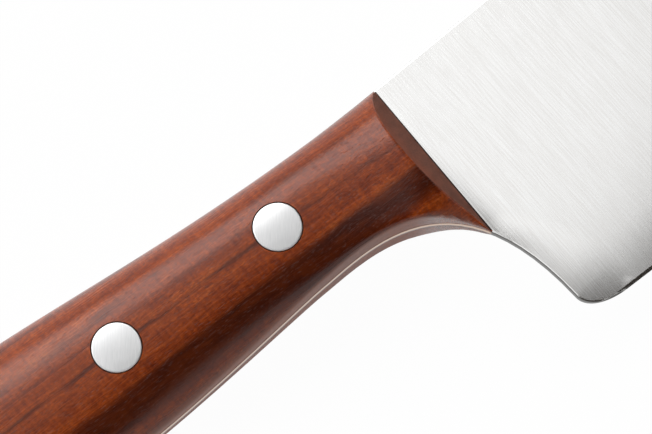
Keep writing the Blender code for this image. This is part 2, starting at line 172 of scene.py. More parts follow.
def face_height(x, y):
    """The plate's face: full stock in the tang, ground ahead of the plunge line, and
    rolled slightly down to the edge."""
    ground = HALF_STOCK - SPINE_TAPER * (x - PLUNGE_SETBACK) + EDGE_TAPER * y
    rolled = np.clip(1.0 - (y - line_height(edge_line, x)) / EDGE_ROLL_WIDTH, 0.0, 1.0)
    ground = ground * (1.0 - EDGE_ROLL_SHARE * rolled * rolled)
    start, run = plunge_line(y)
    left = np.clip(1.0 - (x - start) / run, 0.0, 1.0)
    return HALF_STOCK + (np.minimum(ground, HALF_STOCK) - HALF_STOCK) * (1.0 - left * left)


def inward(loop):
    """The way into the plate at each point of a closed clockwise loop."""
    way = np.roll(loop, -1, axis=0) - np.roll(loop, 1, axis=0)
    way /= np.linalg.norm(way, axis=1)[:, None]
    return np.column_stack([way[:, 1], -way[:, 0]])


def inside(points, loop, margin):
    """Which points lie inside a closed loop, and no nearer to it than the margin."""
    x, y = points[:, :1], points[:, 1:]
    start, end = loop, np.roll(loop, -1, axis=0)
    spans = (start[:, 1] > y) != (end[:, 1] > y)
    rise = end[:, 1] - start[:, 1]
    rise = np.where(rise == 0.0, 1.0, rise)
    meets = start[:, 0] + (y - start[:, 1]) / rise * (end[:, 0] - start[:, 0])
    within = np.sum(spans & (x < meets), axis=1) % 2 == 1
    apart = np.hypot(x - loop[:, 0], y - loop[:, 1]).min(axis=1)
    return within & (apart > margin)


def ring_faces(first, second, closed=True):
    """The four-sided faces between two rings of vertex numbers."""
    count = len(first)
    last = count if closed else count - 1
    return [(first[n], first[(n + 1) % count], second[(n + 1) % count], second[n])
            for n in range(last)]


blade_low, blade_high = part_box("blade")
HANDLE_FRONT = Vector((blade_high.x - BLADE_LENGTH * MILLIMETRE,
                       blade_low.y + BLADE_HEIGHT * MILLIMETRE,
                       (blade_low.z + blade_high.z) / 2))
SAME_POINT = 0.001
SHARP_ANGLE = 30.0


def piece(name, points, faces, sharp=SHARP_ANGLE):
    """A closed mesh piece of the knife, from points in millimetres. Its edges that bend by
    more than the sharp angle stay crisp."""
    places = np.asarray(points) * MILLIMETRE + np.array(HANDLE_FRONT)
    mesh = bpy.data.meshes.new(name)
    mesh.from_pydata(places.tolist(), [], [[int(n) for n in face] for face in faces])
    work = bmesh.new()
    work.from_mesh(mesh)
    bmesh.ops.remove_doubles(work, verts=work.verts, dist=SAME_POINT * MILLIMETRE)
    bmesh.ops.recalc_face_normals(work, faces=work.faces)
    work.to_mesh(mesh)
    work.free()
    mesh.shade_smooth()
    mesh.set_sharp_from_angle(angle=math.radians(sharp))
    made = bpy.data.objects.new(name, mesh)
    bpy.context.scene.collection.objects.link(made)
    return made


def blade_points():
    """The rings of points from the plate's outline to its face, round the eased corners and
    up the edge's bevel, and how far each ring lies from the middle plane."""
    rim = line_through([*plate_knots, "front"])[:-1]
    inner_way = inward(rim)
    on_edge = smooth_step((rim[:, 0] - HEEL_REACH - BEVEL_FROM_HEEL) / HEEL_CORNER_RUN)
    on_edge *= smooth_step((BLADE_LENGTH - BEVEL_FROM_TIP - rim[:, 0]) / TIP_EDGE_ROUND)
    on_edge *= rim[:, 1] < -HEEL_HEIGHT / 2
    whole = rim + inner_way * blend(EASED_CORNER, EDGE_BEVEL_WIDTH, on_edge)[:, None]
    full = face_height(*whole.T)
    rings, depths = [], []
    for angle in np.radians(CORNER_TURNS):
        eased = EASED_CORNER * (1.0 - math.cos(angle))
        ground = EDGE_BEVEL_WIDTH * angle / (math.pi / 2)
        place = rim + inner_way * blend(eased, ground, on_edge)[:, None]
        dropped = full - EASED_CORNER * (1.0 - math.sin(angle))
        honed = blend(EDGE_LAND, full, angle / (math.pi / 2))
        rings.append(place)
        depths.append(blend(dropped, honed, on_edge))
    rings.append(rings[-1] + inner_way * FACE_MARGIN)
    depths.append(face_height(*rings[-1].T))
    return rings, depths


PLUNGE_ROWS = np.arange(-0.8, -HEEL_HEIGHT, -1.0)
PLUNGE_SHARES = np.linspace(-0.05, 1.1, 14)
PLUNGE_MARGIN = 0.35
FACE_COLUMNS = np.arange(12.0, BLADE_LENGTH, 3.0)
FACE_ROWS = [-1.5, -6.0, -14.0, -22.0, -30.0, -38.0, *np.arange(-43.0, -54.0, -0.8)]
NET_MARGIN = 0.7
HOLE_TURNS = np.radians(np.arange(0.0, 360.0, 7.5))


def plunge_columns():
    """Lines of points that follow the plunge from where it starts to the ground face."""
    start, run = plunge_line(PLUNGE_ROWS)
    return [np.column_stack([start + run * share, PLUNGE_ROWS]) for share in PLUNGE_SHARES]


def plate_face(loop, holes):
    """A flat net of triangles inside a loop and round the holes, fine where the plate's
    face bends."""
    count = len(loop)
    points = [loop]
    edges = [(n, (n + 1) % count) for n in range(count)]
    for column in plunge_columns():
        kept = inside(column, loop, PLUNGE_MARGIN)
        numbers = count + np.cumsum(kept) - 1
        edges += [(int(a), int(b)) for a, b, one, two in
                  zip(numbers, numbers[1:], kept, kept[1:]) if one and two]
        points.append(column[kept])
        count += int(kept.sum())
    x, y = np.meshgrid(FACE_COLUMNS, FACE_ROWS)
    grid = np.column_stack([x.ravel(), y.ravel()])
    grid = grid[inside(grid, loop, NET_MARGIN)]
    points.append(grid)
    count += len(grid)
    for centre, radius in holes:
        circle = centre + radius * np.column_stack([np.cos(HOLE_TURNS), np.sin(HOLE_TURNS)])
        edges += [(count + n, count + (n + 1) % len(circle)) for n in range(len(circle))]
        points.append(circle)
        count += len(circle)
    flat = [Vector(point) for point in np.vstack(points)]
    found, _, faces, _, _, _ = delaunay_2d_cdt(flat, edges, [], 1, 1e-6)
    places = np.array([point[:] for point in found])
    faces = np.array(faces)
    middles = places[faces].mean(axis=1)
    for centre, radius in holes:
        away = np.hypot(*(middles - centre).T)
        faces, middles = faces[away > radius], middles[away > radius]
    return places, faces


RIVET_HEAD_RADIUS = 4.0
RIVET_SLEEVE_RADIUS = 2.5
RIVET_LINE_DROP = 10.3
RIVET_LINE_RISE = math.tan(math.radians(2.64))
RIVET_FRONT = -28.1
RIVET_REAR = 28.0 - HANDLE_LENGTH
SHANK_GAP = 0.1
BLADE_SHARP_ANGLE = 24.0
rivet_places = {}
for name, x in (("front", RIVET_FRONT), ("middle", (RIVET_FRONT + RIVET_REAR) / 2),
                ("rear", RIVET_REAR)):
    rivet_places[name] = np.array([x, -RIVET_LINE_DROP - x * RIVET_LINE_RISE])


def make_blade():
    """The plate, from its rings and the nets of its two faces, with the rivets' holes."""
    rings, depths = blade_points()
    holes = [(place, RIVET_SLEEVE_RADIUS + SHANK_GAP) for place in rivet_places.values()]
    around = len(rings[0])
    points, faces = [], []
    for side in (1, -1):
        for ring, depth in zip(rings[:-1], depths[:-1]):
            points.append(np.column_stack([ring, side * depth]))
    steps = len(rings) - 1
    rows = [np.arange(around) + around * n for n in range(2 * steps)]
    for side in (0, 1):
        for n in range(steps - 1):
            faces += ring_faces(rows[side * steps + n], rows[side * steps + n + 1])
    faces += ring_faces(rows[0], rows[steps])
    net, triangles = plate_face(rings[-1], holes)
    start = 2 * steps * around
    nearest = [int(np.argmin(np.hypot(*(net - point).T))) for point in rings[-1]]
    for side in (0, 1):
        height = face_height(*net.T) * (1 - 2 * side)
        points.append(np.column_stack([net, height]))
        shift = start + side * len(net)
        faces += [[int(a) + shift for a in face] for face in triangles]
        faces += ring_faces(rows[side * steps + steps - 1], [n + shift for n in nearest])
    for centre, radius in holes:
        away = np.hypot(*(net - centre).T)
        wall = np.where(np.abs(away - radius) < SAME_POINT)[0]
        turn = np.arctan2(net[wall, 1] - centre[1], net[wall, 0] - centre[0])
        wall = wall[np.argsort(turn)]
        faces += ring_faces(wall + start, wall + start + len(net))
    return piece("satin_blade", np.vstack(points), faces, sharp=BLADE_SHARP_ANGLE)


class Value:
    """A value in a finish. Arithmetic on it adds the Math nodes that work it out."""

    def __init__(self, nodes, socket):
        self.nodes = nodes
        self.socket = socket

    def __add__(self, other):
        return self.nodes.math("ADD", self, other)

    def __sub__(self, other):
        return self.nodes.math("SUBTRACT", self, other)

    def __rsub__(self, other):
        return self.nodes.math("SUBTRACT", other, self)

    def __mul__(self, other):
        return self.nodes.math("MULTIPLY", self, other)

    def __abs__(self):
        return self.nodes.math("ABSOLUTE", self)

    __radd__ = __add__
    __rmul__ = __mul__


class Nodes:
    """A tree of shader nodes, and the ways to add to it."""

    def __init__(self, tree):
        self.tree = tree

    def node(self, kind, settings, sockets, output=0):
        """Add a node, set it up, feed its sockets, and give the value that comes out."""
        made = self.tree.nodes.new(kind)
        for key, setting in settings.items():
            if key == "stops":
                self.set_stops(made.color_ramp.elements, setting)
            else:
                setattr(made, key, setting)
        for key, value in sockets.items():
            self.feed(made.inputs[key], value)
        return Value(self, made.outputs[output])

    def math(self, operation, *values):
        sockets = dict(enumerate(values))
        return self.node("ShaderNodeMath", {"operation": operation}, sockets)

    def set_stops(self, elements, stops):
        while len(elements) < len(stops):
            elements.new(1.0)
        for element, (place, colour) in zip(elements, stops):
            element.position = place
            element.color = (*colour, 1.0)

    def feed(self, socket, value):
        if isinstance(value, Value):
            self.tree.links.new(value.socket, socket)
        elif isinstance(value, tuple) and len(value) == 3 and socket.type == "RGBA":
            socket.default_value = (*value, 1.0)
        else:
            socket.default_value = value


class Finish(Nodes):
    """A finish of the knife or its studio, and the nodes that make it."""

    def __init__(self, name):
        self.material = bpy.data.materials.new(name)
        self.material.use_nodes = True
        super().__init__(self.material.node_tree)
        self.shader = self.tree.nodes["Principled BSDF"]

    def surface(self, **sockets):
        """Set or link the shader's own sockets."""
        for key, value in sockets.items():
            self.feed(self.shader.inputs[key.replace("_", " ")], value)

    def place(self):
        """Where a point of the surface is on the knife, in millimetres."""
        seen = self.node("ShaderNodeTexCoord", {}, {}, "Object")
        shift = tuple(-part / MILLIMETRE for part in HANDLE_FRONT)
        return self.node("ShaderNodeVectorMath", {"operation": "MULTIPLY_ADD"},
                         {0: seen, 1: (1 / MILLIMETRE,) * 3, 2: shift})

    def parts(self, vector):
        """The x, y and z of a vector."""
        return [self.node("ShaderNodeSeparateXYZ", {}, {0: vector}, n) for n in range(3)]

    def vector(self, x, y, z):
        return self.node("ShaderNodeCombineXYZ", {}, {0: x, 1: y, 2: z})

    def facing(self):
        """The x, y and z of the way that the surface faces."""
        return self.parts(self.node("ShaderNodeNewGeometry", {}, {}, "True Normal"))

    def noise(self, vector, waves, detail=2.0, roughness=0.5):
        """Noise with about so many waves to a millimetre along x, y and z."""
        stretched = self.node("ShaderNodeVectorMath", {"operation": "MULTIPLY"},
                              {0: vector, 1: waves})
        return self.node("ShaderNodeTexNoise", {},
                         {"Vector": stretched, "Scale": 1.0, "Detail": detail,
                          "Roughness": roughness})

    def rise(self, value, low, high):
        """0 below low, 1 above high, and smooth between."""
        return self.node("ShaderNodeMapRange", {"interpolation_type": "SMOOTHSTEP"},
                         {0: value, 1: low, 2: high, 3: 0.0, 4: 1.0})

    def mix(self, share, first, second):
        """A colour between two others."""
        return self.node("ShaderNodeMix", {"data_type": "RGBA"},
                         {0: share, 6: first, 7: second}, 2)

    def bump(self, height, depth, strength=1.0):
        """The normal of a surface whose relief is so many millimetres deep."""
        return self.node("ShaderNodeBump", {},
                         {"Height": height, "Strength": strength,
                          "Distance": depth * MILLIMETRE})


def paint(red, green, blue):
    """A colour as the eye names it, from 0 to 255, in the values that light adds up in."""
    shares = [part / 255 for part in (red, green, blue)]
    return tuple(part / 12.92 if part <= 0.04045 else ((part + 0.055) / 1.055) ** 2.4
                 for part in shares)


FRONT_LEAN = math.tan(math.radians(2.0))
STEEL_IN_SCRATCHES, BARE_STEEL = paint(236, 235, 233), paint(247, 247, 246)
WALL_PAINTED_SHADE = paint(92, 90, 88)
TANG_DARK, TANG_LIGHT = paint(190, 162, 142), paint(208, 182, 162)
TANG_RIM_GLUE_AND_SHADE = paint(96, 70, 60)
TANG_LINE = 0.3
SATIN_DEPTH = 0.011

satin = Finish("satin_steel")
where = satin.place()
x, y, z = satin.parts(where)
belt_lines = satin.noise(where, (4.8, 0.12, 0.4), detail=4.0, roughness=0.65)
fine_lines = satin.noise(where, (9.0, 0.25, 0.8))
cloud = satin.noise(where, (0.05, 0.03, 0.05))
scratch = belt_lines * 0.6 + fine_lines * 0.4
steel_colour = satin.mix(satin.rise(scratch, 0.36, 0.64), STEEL_IN_SCRATCHES, BARE_STEEL)
# Painted shade: steel that faces sideways (the plate's walls, its eased corners and the
# edge's bevel) is painted dark grey, and is also rougher.
wall = satin.rise(abs(satin.facing()[2]), 0.96, 0.85)
steel_colour = satin.mix(wall, steel_colour, WALL_PAINTED_SHADE)
# Painted shade: inside the handle, the steel's strips between the scales are painted a
# darker, browner tone than the blade.
tang_colour_and_shade = satin.mix(belt_lines, TANG_DARK, TANG_LIGHT)
# The tang's strips are painted dark along both rims, for dark glue and painted shade in the
# joints with the scales.
tang_colour_and_shade = satin.mix(satin.rise(abs(z - TANG_LINE), 0.5, 0.65), tang_colour_and_shade, TANG_RIM_GLUE_AND_SHADE)
in_handle = satin.rise(y * FRONT_LEAN - x, 0.1, 0.35)
satin.surface(
    Base_Color=satin.mix(in_handle, steel_colour, tang_colour_and_shade),
    Metallic=1.0,
    Roughness=0.10 + scratch * 0.06 + cloud * 0.02 + wall * 0.2,
    Normal=satin.bump(scratch, SATIN_DEPTH, 0.6),
)

blade = make_blade()
blade.data.materials.append(satin.material)
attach(blade, "root")
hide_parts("blade")


# Two scales of reddish-brown hardwood are glued and riveted to the tang. Tang, scales and
# rivets are then ground together to one rounded handle, with a flat along its underside
# and a front face that slopes back from the blade, and the wood is oiled.
HANDLE_THICKNESS = 19.2
FRONT_THICKNESS = 16.4
THICKENING_RUN = 40.0
BUTT_PLAN_ROUND = 8.5
BUTT_LAND = 3.0
TOP_FULLNESS = 2.4
CROWN_SHARE = 0.41
CROWN_SHARE_AT_FRONT = 0.60
CROWN_SINKS_OVER = 22.0
SIDE_SLOPE = 0.08
SIDE_EASE = 2.0
LOW_FULLNESS = 3.2
GUARD_FULLNESS = 1.6
GRIP_TAPER = 0.5
GUARD_TAPER = 1.4
GUARD_RUN = 8.2
UNDERSIDE_WIDTH = 14.8
UNDERSIDE_WIDTH_AT_GUARD = 3.5
UNDERSIDE_WIDTH_IN_GRIP = 7.2
UNDERSIDE_WIDENS_OVER = 10.0
UNDERSIDE_NARROWS_FROM = 12.0
UNDERSIDE_NARROWS_TO = 58.0
UNDERSIDE_CORNER = 30.0
UNDERSIDE_SQUARENESS = 20.0
FRONT_SLOPE = math.tan(math.radians(30.0))
FRONT_RIM = 0.3
FRONT_RIM_TURNS = (0.0, 22.5, 45.0, 67.5, 90.0)
RIM_CLEARANCE = 0.3
WOOD_BELOW_TANG = 0.06
GLUE_LINE = 0.07
HOLE_GAP = 0.12
RIVET_SEAT = 5.2
SCALE_AROUND = 130
SECTION_STEPS = 400
TURN_STEPS = 96
FACES_AHEAD = 0.7

upper_line = line_through(["butt", "hump", "front", "spine_end"])
lower_line = line_through(["heel_back", "neck", "belly", "waist", "beak", "butt"])[::-1]


def form_lines(x):
    """The handle form's top, crown and bottom heights at x."""
    top = line_height(upper_line, x)
    low = line_height(lower_line, x)
    sunk = smooth_step(1.0 + x / CROWN_SINKS_OVER)
    share = blend(CROWN_SHARE, CROWN_SHARE_AT_FRONT, sunk)
    return top, blend(top, np.maximum(low, -NECK_DROP), share), low


def underside_half_width(x):
    """Half the width of the flat along the underside: widest at the neck."""
    run = UNDERSIDE_NARROWS_TO - UNDERSIDE_NARROWS_FROM
    narrowed = smooth_step((-x - UNDERSIDE_NARROWS_FROM) / run)
    width = blend(UNDERSIDE_WIDTH, UNDERSIDE_WIDTH_IN_GRIP, narrowed)
    guard = smooth_step(1.0 + x / UNDERSIDE_WIDENS_OVER)
    return blend(width, UNDERSIDE_WIDTH_AT_GUARD, guard) / 2


def form_height(x, y, below):
    """Half the thickness at x and y of a surface that lies so far below the handle's form:
    rounded over the top, nearly flat down the side, round into the flat underside, and
    narrow at the guard."""
    top, crown, low = form_lines(x)
    top, low = top - below, low + below
    half = blend(FRONT_THICKNESS, HANDLE_THICKNESS, smooth_step(-x / THICKENING_RUN)) / 2
    into_round = np.clip((BUTT_PLAN_ROUND - HANDLE_LENGTH - x) / BUTT_PLAN_ROUND, 0.0, 1.0)
    closing = (1.0 - into_round ** TOP_FULLNESS) ** (1 / TOP_FULLNESS)
    half = blend(BUTT_LAND / 2, half, closing) - below
    flat = np.minimum(underside_half_width(x), half) - below
    guard = smooth_step(1.0 + x / GUARD_RUN)
    fullness = blend(LOW_FULLNESS, GUARD_FULLNESS, guard)
    taper = GRIP_TAPER * (GUARD_TAPER / GRIP_TAPER) ** guard
    over = np.clip((y - crown) / (top - crown), 0.0, 1.0)
    under = np.clip((crown - y) / (crown - low), 0.0, 1.0)
    down = np.maximum(crown - y, 0.0)
    side = half - np.minimum(SIDE_SLOPE * down * down / (down + SIDE_EASE), half - flat)
    flank = flat * (1.0 - under ** UNDERSIDE_CORNER) ** (1.0 / UNDERSIDE_SQUARENESS)
    flank = flank + (side - flat) * (1.0 - under ** fullness) ** taper
    rounded = half * np.sqrt(1.0 - over ** TOP_FULLNESS)
    return np.where(y > crown, rounded, flank)


def scale_section(x, inner):
    """A scale's cross-section at x from its top to its underside, outside the glue line,
    as evenly spaced rows of y and z."""
    top, crown, low = form_lines(x)
    turn = np.linspace(0.0, math.pi / 2, SECTION_STEPS)
    y = np.concatenate([crown + (top - WOOD_BELOW_TANG - crown) * np.cos(turn),
                        crown + (low + WOOD_BELOW_TANG - crown) * np.sin(turn[1:])])
    z = form_height(np.full_like(y, x), y, WOOD_BELOW_TANG)
    proud = np.where(z > inner)[0]
    first, last = proud[0], proud[-1]
    start, end = (blend(y[out], y[near], (inner - z[out]) / (z[near] - z[out]))
                  for out, near in ((first - 1, first), (last + 1, last)))
    y = np.concatenate([[start], y[proud], [end]])
    z = np.concatenate([[inner], z[proud], [inner]])
    run = np.concatenate([[0.0], np.cumsum(np.hypot(np.diff(y), np.diff(z)))])
    even = np.linspace(0.0, run[-1], SCALE_AROUND)
    return np.column_stack([np.interp(even, run, y), np.interp(even, run, z)])


def front_face(y, z):
    """The x of the scale's sloped front face."""
    return FRONT_LEAN * y - FRONT_SLOPE * (z - HALF_STOCK)


SCALE_BUTT = WOOD_BELOW_TANG - HANDLE_LENGTH
PAST_FRONT = 0.6
BUTT_CROWDING = 1.5
SECTION_SHARES = np.linspace(0.012, 1.0, 420) ** BUTT_CROWDING
RING_SHARES = np.linspace(0.03, 1.0, 190) ** BUTT_CROWDING
SETTLING_ROUNDS = 30
stations = blend(SCALE_BUTT, PAST_FRONT, SECTION_SHARES)
sections = np.array([scale_section(x, HALF_STOCK + GLUE_LINE) for x in stations])


def scale_ring(share, setback=0.0):
    """A ring of points round a right-hand scale, at a share of the way from the butt to the
    front face, or that much short of the face. Each point is moved until it lies there."""
    around = np.arange(SCALE_AROUND)
    x = np.full(SCALE_AROUND, SCALE_BUTT * (1.0 - share))
    for _ in range(SETTLING_ROUNDS):
        place = np.clip(np.interp(x, stations, np.arange(len(stations))), 0,
                        len(stations) - 1.001)
        whole = place.astype(int)
        part = (place - whole)[:, None]
        section = sections[whole, around] * (1 - part) + sections[whole + 1, around] * part
        ahead = front_face(section[:, 0], section[:, 1]) - setback
        x = blend(x, SCALE_BUTT + share * (ahead - SCALE_BUTT), 0.5)
    return np.column_stack([x, section])


def front_rim():
    """The last rings, round the small eased rim of the front face."""
    edge = scale_ring(1.0)
    way = np.gradient(edge, axis=0)
    slope = np.array([1.0, -FRONT_LEAN, FRONT_SLOPE])
    into = np.cross(way, slope / np.linalg.norm(slope))
    into[[0, -1], 2] = 0.0
    into /= np.linalg.norm(into, axis=1)[:, None]
    if np.dot(into[SCALE_AROUND // 2], edge[SCALE_AROUND // 2] - edge.mean(axis=0)) > 0.0:
        into = -into
    rings = []
    for angle in np.radians(FRONT_RIM_TURNS):
        ring = scale_ring(1.0, FRONT_RIM * (1.0 - math.sin(angle)))
        rings.append(ring + into * FRONT_RIM * (1.0 - math.cos(angle)))
    rings.append(rings[-1] + into * FACE_MARGIN)
    return rings


def skin(rings, around):
    """The faces round a stack of closed rings, with a flat one over each end."""
    rows = [np.arange(around) + around * n for n in range(rings)]
    faces = [list(rows[0]), list(rows[-1])]
    for first, second in zip(rows, rows[1:]):
        faces += ring_faces(first, second)
    return faces


def make_scale(name, side, side_wood, front_wood):
    """A scale on the right side, 1, or the left side, -1, with its front face bare."""
    rings = [scale_ring(share) for share in RING_SHARES]
    rings = [ring for ring in rings if ring[0, 0] < -FRONT_RIM - RIM_CLEARANCE]
    rings += front_rim()
    made = piece(name, np.vstack(rings) * (1, 1, side), skin(len(rings), SCALE_AROUND))
    made.data.materials.append(side_wood.material)
    made.data.materials.append(front_wood.material)
    for face in made.data.polygons:
        face.material_index = int(face.normal.x > FACES_AHEAD)
    for place in rivet_places.values():
        drill(made, place, side)
    return made


def drill(scale, place, side):
    """Cut a rivet's counterbored hole through a scale."""
    head = RIVET_HEAD_RADIUS + HOLE_GAP
    shank = RIVET_SLEEVE_RADIUS + SHANK_GAP
    profile = [(head, HANDLE_THICKNESS), (head, RIVET_SEAT), (shank, RIVET_SEAT),
               (shank, 0.0)]
    cutter = piece("drill", turned(place, profile, side), skin(len(profile), TURN_STEPS))
    cut = scale.modifiers.new("Hole", "BOOLEAN")
    cut.operation = "DIFFERENCE"
    cut.solver = "EXACT"
    cut.object = cutter
    settle(scale)
    bpy.data.objects.remove(cutter, do_unlink=True)


def circle_round(place, radius):
    """The x and y of points round a place."""
    turn = np.linspace(0.0, 2 * math.pi, TURN_STEPS, endpoint=False)
    return place[0] + radius * np.cos(turn), place[1] + radius * np.sin(turn)


def turned(place, profile, side):
    """The points of a turned solid, whose profile runs from its outer end to its inner end
    as (radius, z)."""
    return np.vstack([np.column_stack([*circle_round(place, radius),
                                       np.full(TURN_STEPS, side * height)])
                      for radius, height in profile])


def settle(thing):
    """Apply a piece's modifiers to its mesh."""
    bpy.context.view_layer.update()
    seen = thing.evaluated_get(bpy.context.evaluated_depsgraph_get())
    mesh = bpy.data.meshes.new_from_object(seen)
    thing.modifiers.clear()
    thing.data = mesh
    mesh.name = thing.name
    mesh.shade_smooth()
    mesh.set_sharp_from_angle(angle=math.radians(SHARP_ANGLE))


GRAIN_SLOPE = 0.055
WOOD_TONES = [(0.36, paint(96, 30, 4)), (0.46, paint(134, 54, 13)),
              (0.54, paint(158, 70, 22)), (0.65, paint(182, 92, 38))]
STREAK_AND_SHADE_COLOUR = paint(50, 12, 2)
PORE_COLOUR = paint(46, 12, 4)
FLECK_COLOUR = paint(64, 18, 4)
SPECKLE_COLOUR = paint(74, 24, 6)
UNDERSIDE_PAINTED_SHEEN = paint(150, 90, 62)
WOOD_RELIEF = 0.05
OILED_GLOSS = 1.46


def oiled_wood(name, shift, streaks_and_shade):
    """Streaky reddish-brown hardwood, its grain running a little down to the front, with a
    wide streak of painted shade along the lower flank. The flat along the underside is less
    polished than the sides, and painted paler, a painted sheen of the white table's light."""
    wood = Finish(name)
    where = wood.place()
    x, y, z = wood.parts(where)
    wander = wood.noise(where, (0.035, 0.03, 0.03))
    waver = wood.noise(where, (0.16, 0.4, 0.2), detail=3.0)
    across = y + x * GRAIN_SLOPE + shift + (wander - 0.5) * 1.2 + (waver - 0.5) * 0.9
    grain = wood.vector(x, across, z)
    bands = wood.noise(grain, (0.02, 0.42, 0.16), detail=4.0, roughness=0.6)
    lines = wood.noise(grain, (0.05, 2.6, 0.7), detail=3.0, roughness=0.6)
    ripple = wood.noise(grain, (1.7, 0.25, 0.2))
    mottle = wood.noise(where, (0.55, 1.3, 0.9), detail=4.0, roughness=0.62)
    tone = bands * 0.34 + lines * 0.20 + ripple * 0.20 + mottle * 0.26
    colour = wood.node("ShaderNodeValToRGB", {"stops": WOOD_TONES}, {0: tone})

    patchy = wood.noise(grain, (0.11, 0.6, 0.3), detail=4.0, roughness=0.6)
    whole = wood.rise(patchy, 0.42, 0.60)
    # The wide streaks that turn from the grain paint shade along the lower flank, over
    # darker figure.
    for centre, width, softness, depth, breaks, turn in streaks_and_shade:
        off = abs(across - x * turn - centre)
        unbroken = whole * breaks + 1.0 - breaks
        mark = wood.rise(off, width, width - softness) * depth * unbroken
        colour = wood.mix(mark, colour, STREAK_AND_SHADE_COLOUR)

    pore = wood.rise(wood.noise(grain, (0.9, 7.0, 5.0), detail=1.0), 0.64, 0.74)
    colour = wood.mix(pore * 0.4, colour, PORE_COLOUR)
    flecks = wood.noise(grain, (0.55, 3.4, 2.4), detail=3.0, roughness=0.6)
    colour = wood.mix(wood.rise(flecks, 0.54, 0.68) * 0.40, colour, FLECK_COLOUR)
    speckles = wood.noise(where, (1.9, 3.0, 2.6), roughness=0.6)
    speckle = wood.rise(speckles, 0.36, 0.64)
    colour = wood.mix(speckle * 0.38, colour, SPECKLE_COLOUR)

    relief = lines * 0.3 + ripple * 0.45 + mottle * 0.35 - pore * 0.5 - speckle * 0.25
    # Painted sheen: wood that faces down, the flat along the underside, is painted paler.
    below = wood.rise(0.0 - wood.facing()[1], 0.80, 0.97)
    wood.surface(
        Base_Color=wood.mix(below * 0.5, colour, UNDERSIDE_PAINTED_SHEEN),
        Roughness=0.24 + lines * 0.06 + pore * 0.2 + below * 0.26,
        Normal=wood.bump(relief, WOOD_RELIEF, 0.5),
        IOR=OILED_GLOSS,
    )
    return wood


GLUE_COLOUR = paint(44, 22, 16)
SAWN_DARK, SAWN_LIGHT = paint(86, 44, 27), paint(117, 66, 46)
OIL_SOAKED = paint(134, 60, 30)
SAWN_RELIEF = 0.03
DRY_GLOSS = 1.4


def end_grain():
    """The bare front faces of the scales, where the pores end: dark at the glue line, and
    soaked redder by the oil towards the outside."""
    wood = Finish("end_grain")
    where = wood.place()
    fine = wood.noise(where, (2.5, 3.0, 3.0), detail=4.0, roughness=0.65)
    rings = wood.noise(where, (0.3, 0.5, 0.2))
    from_tang = abs(wood.parts(where)[2])
    sawn = wood.mix(wood.rise(fine * 0.6 + rings * 0.4, 0.36, 0.64), SAWN_DARK, SAWN_LIGHT)
    sawn = wood.mix(wood.rise(from_tang, 4.0, 8.5) * 0.5, sawn, OIL_SOAKED)
    wood.surface(
        Base_Color=wood.mix(wood.rise(from_tang, 1.25, 1.6), GLUE_COLOUR, sawn),
        Roughness=0.62 + fine * 0.1,
        Normal=wood.bump(fine, SAWN_RELIEF, 0.4),
        IOR=DRY_GLOSS,
    )
    return wood


front_wood = end_grain()
# A dark streak's level in the grain, half its width, its softness and its depth, how broken
# it is, and how far it turns from the grain. The wide streak that turns on each scale is
# darker figure and painted shade along the lower flank.
RIGHT_STREAKS = ((-10.9, 0.6, 0.5, 0.75, 0.7, 0.0), (-17.3, 0.6, 0.4, 0.5, 0.6, 0.0),
                 (-17.9, 3.4, 1.8, 0.95, 0.15, 0.028), (-5.2, 1.3, 0.9, 0.46, 0.7, 0.0),
                 (-13.2, 0.3, 0.25, 0.35, 0.8, 0.0), (-7.9, 0.35, 0.3, 0.30, 0.9, 0.0),
                 (0.4, 0.5, 0.4, 0.35, 0.5, 0.0))
LEFT_STREAKS = ((24.0, 0.5, 0.4, 0.6, 0.6, 0.0), (17.5, 0.6, 0.5, 0.7, 0.5, 0.0),
                (13.2, 2.2, 1.4, 0.7, 0.2, 0.028), (28.8, 0.4, 0.3, 0.4, 0.7, 0.0),
                (20.6, 0.3, 0.25, 0.4, 0.8, 0.0))
for name, side, node, shift, streaks_and_shade in (
        ("right_scale", 1, "scale_right", 0.0, RIGHT_STREAKS),
        ("left_scale", -1, "scale_left", 31.0, LEFT_STREAKS)):
    side_wood = oiled_wood("oiled_" + name, shift, streaks_and_shade)
    scale = make_scale(name, side, side_wood, front_wood)
    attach(scale, "root")
    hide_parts(node)


# Three cutler's rivets of bright metal hold the handle. Each is a sleeved half let in from
# the right and a pinned half driven into it from the left, and both heads are ground flush
# with the wood and rubbed with fine paper.
RIVET_PIN_RADIUS = 1.5
RIVET_BORE_RADIUS = 1.6
RIVET_SLEEVE_SHORTFALL = 1.2
RIVET_PIN_REACH = 3.0
UNDER_HEAD = 5.4
HEAD_RIM = 0.14
HEAD_FIT = 0.04
HEAD_BELOW_FORM = 0.05
HEAD_SHARES = (0.02, 0.2, 0.4, 0.6, 0.8, 0.96, 1.0)
HEAD_RIM_TURNS = (30.0, 60.0, 90.0)
RIVET_SHARP_ANGLE = 40.0
head_radius = RIVET_HEAD_RADIUS - HEAD_FIT


def ground_head(place, side):
    """Rings of a rivet's head, ground to the handle form, from the middle to the rim."""
    steps = [(share * (head_radius - HEAD_RIM), 0.0) for share in HEAD_SHARES]
    for angle in np.radians(HEAD_RIM_TURNS):
        steps.append((head_radius - HEAD_RIM * (1.0 - math.sin(angle)),
                      HEAD_RIM * (1.0 - math.cos(angle))))
    rings = []
    for out, drop in steps:
        x, y = circle_round(place, out)
        z = form_height(x, y, HEAD_BELOW_FORM) - drop
        rings.append(np.column_stack([x, y, side * z]))
    return rings


def make_rivet(name, place, side, profile):
    """Half a rivet: its ground head, and the turned shank below, listed as (radius, z)."""
    points = np.vstack([*ground_head(place, side), turned(place, profile, side)])
    faces = skin(len(points) // TURN_STEPS, TURN_STEPS)
    return piece(name, points, faces, sharp=RIVET_SHARP_ANGLE)


